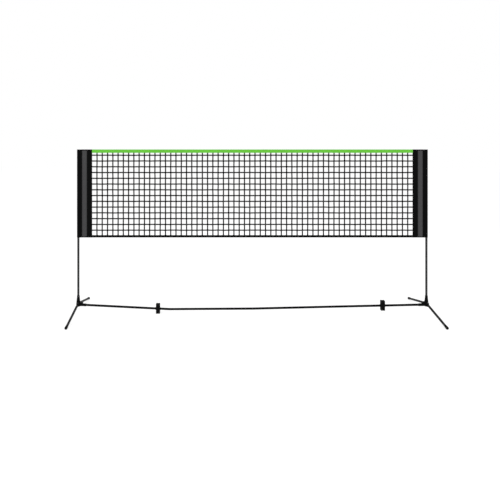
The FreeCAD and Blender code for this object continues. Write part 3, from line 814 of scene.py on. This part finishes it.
def make_hem(side, fold, mouth):
    """The hem folded over the ends of the cross lines and sewn through."""
    out = SIDES[side]
    bends = [(fold - out * back, -PLY * share) for back, share in HEM_FOLD]
    past, opening = HEM_EDGE
    half = line_between((mouth, -PLY), bends[0], HEM_STEPS) + bends[1:] \
        + [(fold + out * past, -opening)]
    path = half + [(x, -y) for x, y in reversed(half)]
    seed = HEM_SEED + out
    hem = upright_strip(f"{side}_side_hem_cloth", path, CLOTH, "cloth", f"{side}_side_hem",
                        HEM_PUCKER, seed)
    from_fold, from_mouth = HEM_SEAMS
    return upright_stitches(path, fold - out * from_fold, HEM_PUCKER, seed) \
        + upright_stitches(path, mouth + out * from_mouth, HEM_PUCKER, seed)


def make_bindings(side, seam, fold, mouth):
    """Bindings folded over the top and foot of the stripe and hem, thicker over the hem."""
    out = SIDES[side]
    first = seam - out * BINDING_START
    for label, edge, inward in (("top", net_high, 1), ("foot", net_low, -1)):
        rings = []
        for station in range(BINDING_STEPS + 1):
            x = first + (mouth - first) * station / BINDING_STEPS
            inside = (abs(fold) - abs(x) + BINDING_AHEAD) / BINDING_RISE
            inside = min(1.0, max(0.0, inside))
            thick = BINDING_HALF + BINDING_STEP * inside ** 2 * (3 - 2 * inside)
            end = 0 if inward > 0 else 360
            bead = arc((0, edge - inward * thick), thick, 180, end, BEAD_STEPS)
            hang = edge - inward * BINDING_HEIGHT
            path = [(-thick, hang)] + bead + [(thick, hang)]
            rings.append([Vector((x, *point)) for point in outline(path, BINDING_THICK)])
        points, faces = close_ends(*loft(rings), len(rings[0]))
        binding = add_piece(f"{side}_{label}_binding", points, faces, "net", "binding")


def make_band(side):
    """The bands at one end of the net: pole sleeve, grey stripe, hem, bindings and stitching."""
    out = SIDES[side]
    low, high = box(f"{side}_side_stripe")
    seam, fold = (high.x, low.x) if out > 0 else (low.x, high.x)
    mouth = out * (mesh_half - HEM_LAP)
    lap = out * STRIPE_LAP
    path = line_between((seam + lap, 0), (fold - lap, 0), STRIPE_STEPS)
    stripe = upright_strip(f"{side}_side_stripe_webbing", path, STRIPE_THICK, "stripe",
                           f"{side}_side_stripe", STRIPE_PUCKER, STRIPE_SEED + out)
    rows = make_sleeve(side, seam) + make_hem(side, fold, mouth)
    make_bindings(side, seam, fold, mouth)
    add_piece(f"{side}_band_stitches", *join(rows), "net", "black_thread")


# ---------------------------------------------------------------- stand

def make_foot(side, face):
    """A ribbed rubber foot on the end of a leg, worn flat where it stands."""
    body = f"{side}_{face}_leg"
    node = f"{side}_{face}_foot_cap"
    low, high = box(node)
    pivot = Vector(joint(f"{body}_fold")["pos_m"])
    out = FACES[face]
    radius = (high.x - low.x) / 2
    tip = Vector((pivot.x, out * FOOT_REACH, radius - SOLE_DEPTH))
    along = (tip - pivot).normalized()
    across = Vector((1, 0, 0))
    up = across.cross(along).normalized()
    length = FOOT_PROFILE[-1][0]
    rings = []
    for distance, size in FOOT_PROFILE:
        centre = tip - along * (length - distance) * MM
        ring = []
        for angle in circle(FOOT_SIDES):
            point = centre + (across * math.cos(angle) + up * math.sin(angle)) * size * MM
            point.z = max(point.z, 0.0)
            ring.append(point)
        rings.append(ring)
    add_piece(f"{node}_rubber", *loft(rings, cap=True), body, "rubber", (node,))


def socket_head(centre, axis, radius, height, socket):
    """A domed screw head with a hexagonal socket, its seat at centre and its top along axis."""
    axis = axis.normalized()
    side = axis.orthogonal().normalized()
    other = axis.cross(side)
    half = math.pi / HEX

    def ring(size, level, hexagonal=False):
        """A round or hexagonal ring at a level of the head."""
        points = []
        for angle in circle(HEAD_SIDES):
            reach = size
            if hexagonal:
                reach = size * math.cos(half) / math.cos((angle + half) % (2 * half) - half)
            away = (side * math.cos(angle) + other * math.sin(angle)) * reach
            points.append(centre + away + axis * level)
        return points

    rings = [ring(radius * wide, height * high) for wide, high in
             ((1, 0), (1, 0.45), (0.93, 0.72), (0.78, 0.93), (0.62, 1))]
    rings += [ring(socket * wide, height * high, True) for wide, high in
              ((1.05, 1), (1, 0.93), (1, 0.35))]
    points, faces = loft(rings)
    faces.append(tuple(range(HEAD_SIDES)))
    faces.append(tuple(range(len(points) - HEAD_SIDES, len(points))))
    return points, faces


def solids(node):
    """The boxes of a node's separate solids."""
    work = bmesh.new()
    work.from_mesh(frame["nodes"][node].data)
    bmesh.ops.remove_doubles(work, verts=work.verts, dist=WELD)
    work.verts.ensure_lookup_table()
    seen, groups = set(), []
    for vertex in work.verts:
        if vertex in seen:
            continue
        group, queue = [], [vertex]
        seen.add(vertex)
        while queue:
            item = queue.pop()
            group.append(item.co.copy())
            for edge in item.link_edges:
                other = edge.other_vert(item)
                if other not in seen:
                    seen.add(other)
                    queue.append(other)
        groups.append((Vector(map(min, zip(*group))), Vector(map(max, zip(*group)))))
    work.free()
    return groups


def rod(start, end, radius, sides=20):
    """A plain round rod."""
    along = (end - start).normalized()
    side = along.orthogonal().normalized()
    other = along.cross(side)
    rings = [[centre + (side * math.cos(angle) + other * math.sin(angle)) * radius
              for angle in circle(sides)] for centre in (start, end)]
    return loft(rings, cap=True)


def make_screws(node, body, axis, head_radius, head_height, shank_radius):
    """Socket-head screws in the places of a node's plain ones; axis points out of the heads."""
    parts = []
    axis = Vector(axis)
    for low, high in solids(node):
        middle = (low + high) / 2
        reach = abs((high - low).dot(axis)) / 2
        top = middle + axis * reach
        seat = top - axis * head_height
        parts.append(socket_head(seat, axis, head_radius, head_height, head_radius * 0.5))
        parts.append(rod(middle - axis * reach, seat, shank_radius))
    add_piece(f"{node}_socket_head", *join(parts), body, "steel", (node,))


def make_stand():
    """Rounded mouldings, ribbed feet and real screw heads, with their finishes, in place of the
    plain CAD pieces.
    """
    for side in SIDES:
        for face in FACES:
            soften(f"{side}_hub_{face}_shell", "base", HUB_EDGE)
            soften(f"{side}_{face}_leg_knuckle", f"{side}_{face}_leg", KNUCKLE_EDGE)
            soften(f"{side}_block_{face}_half", f"{side}_support_block", BLOCK_EDGE)
            make_foot(side, face)
        make_screws(f"{side}_pivot_bolts", "base", (0, 0, 1), *PIVOT_BOLT)
        make_screws(f"{side}_hub_screws", "base", (0, SIDES[side], 0), *SCREW)
        make_screws(f"{side}_block_screws", f"{side}_support_block", (0, -1, 0), *SCREW)


def finish_cad_nodes():
    """Give every CAD node the finish of its material slot."""
    finishes = {"black_tube": "tube", "black_plastic": "plastic", "black_rubber": "rubber",
                "black_cloth": "cloth", "grey_webbing": "stripe", "green_tape": "green",
                "net_twine": "cloth", "zinc_fasteners": "steel"}
    slots = {item["node"]: item["material_slot"] for item in frame["record"]["subparts"]}
    for name, item in frame["nodes"].items():
        finish = "pole" if "upper_pole" in name or "lower_pole" in name else finishes[slots[name]]
        item.data.materials.clear()
        item.data.materials.append(MATERIALS[finish])


# ---------------------------------------------------------------- studio

def seen_directly(tree):
    """1 for what the camera or a reflection sees, and 0 for light that falls on the part."""
    path = add_node(tree, "LightPath").outputs
    seen = math_node(tree, "MAXIMUM", path["Is Camera Ray"], path["Is Glossy Ray"])
    return math_node(tree, "MAXIMUM", seen, path["Is Transmission Ray"])


def add_lamp(name, spot, target, size, power):
    """A soft square lamp that points at a target."""
    light = bpy.data.lights.new(name, "AREA")
    light.energy = power
    light.size = size
    lamp = new_object(name, light)
    lamp.location = spot
    lamp.rotation_euler = (Vector(target) - Vector(spot)).to_track_quat("-Z", "Y").to_euler()


def make_studio():
    """White floor and surroundings, soft lights and the camera."""
    bpy.ops.mesh.primitive_plane_add(size=FLOOR_SIZE)
    floor = bpy.context.object
    floor.name = "studio_floor"
    material, tree, surface = new_material("studio_floor", (0.86, 0.86, 0.86), 0.9)
    brightness, share = FLOOR_GLOW
    glow = add_node(tree, "Emission", {"Color": (1, 1, 1, 1), "Strength": brightness})
    factor = math_node(tree, "MULTIPLY", seen_directly(tree), share)
    mixed = add_node(tree, "MixShader", {0: factor, 1: surface.outputs[0], 2: glow.outputs[0]})
    output = next(node for node in tree.nodes if node.type == "OUTPUT_MATERIAL")
    tree.links.new(mixed.outputs[0], output.inputs["Surface"])
    floor.data.materials.append(material)

    world = bpy.data.worlds.new("studio")
    bpy.context.scene.world = world
    world.use_nodes = True
    tree = world.node_tree
    background = tree.nodes["Background"]
    background.inputs["Color"].default_value = (1, 1, 1, 1)
    strength = spread(tree, seen_directly(tree), WORLD_LIGHT, 1.0, 0.0, 1.0)
    tree.links.new(strength, background.inputs["Strength"])

    for lamp in LAMPS:
        add_lamp(*lamp)

    camera = new_object("camera", bpy.data.cameras.new("camera"))
    camera.location = CAMERA_PLACE
    camera.rotation_euler = (math.radians(90), 0, 0)
    camera.data.lens = CAMERA_LENS
    camera.data.shift_x, camera.data.shift_y = CAMERA_SHIFT
    bpy.context.scene.camera = camera
    bpy.context.scene.view_settings.view_transform = "Standard"


make_studio()
finish_cad_nodes()
make_netting()
make_tape("top", 1, "green", "green_thread")
make_tape("foot", -1, "cloth", "black_thread")
for side_name in SIDES:
    make_band(side_name)
make_stand()
